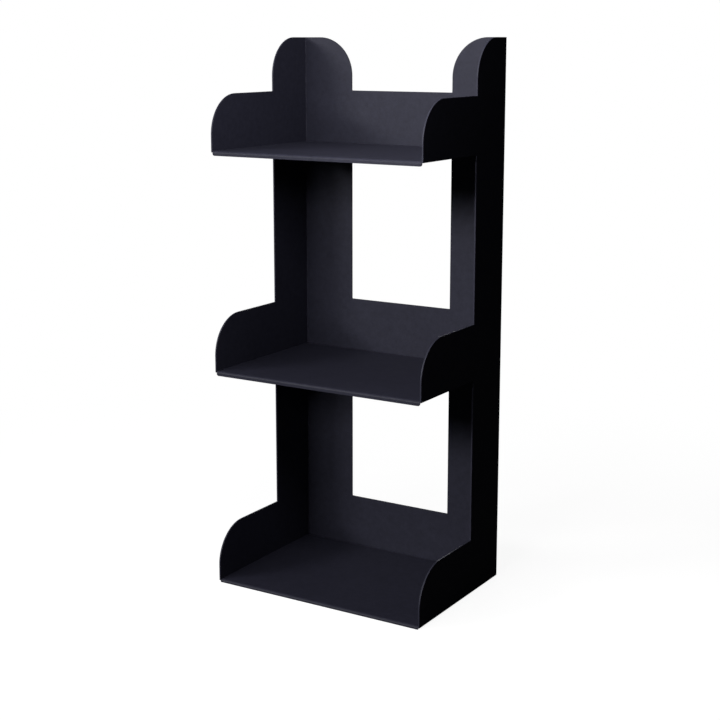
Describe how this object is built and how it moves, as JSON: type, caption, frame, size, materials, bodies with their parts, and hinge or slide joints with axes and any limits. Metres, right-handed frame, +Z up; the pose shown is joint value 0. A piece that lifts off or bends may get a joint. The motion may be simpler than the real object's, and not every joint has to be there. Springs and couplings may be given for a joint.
{
  "type": "bookcase",
  "caption": "Small open bookcase of folded, powder-coated sheet steel with tray shelves between low rounded sides and windows in its back.",
  "frame": {"origin": "on the ground under the middle of the overall outline", "axes": "+Z up, -Y towards the open front, +X to the right seen from the front"},
  "size_m": [0.3, 0.21, 0.7],
  "materials": {
    "powder_coat": "satin, fine-grained powder coat, blue-black"
  },
  "bodies": {
    "root": {"folded_carcass": "powder_coat", "bottom_shelf": "powder_coat", "middle_shelf": "powder_coat", "top_shelf": "powder_coat"}
  },
  "joints": []
}
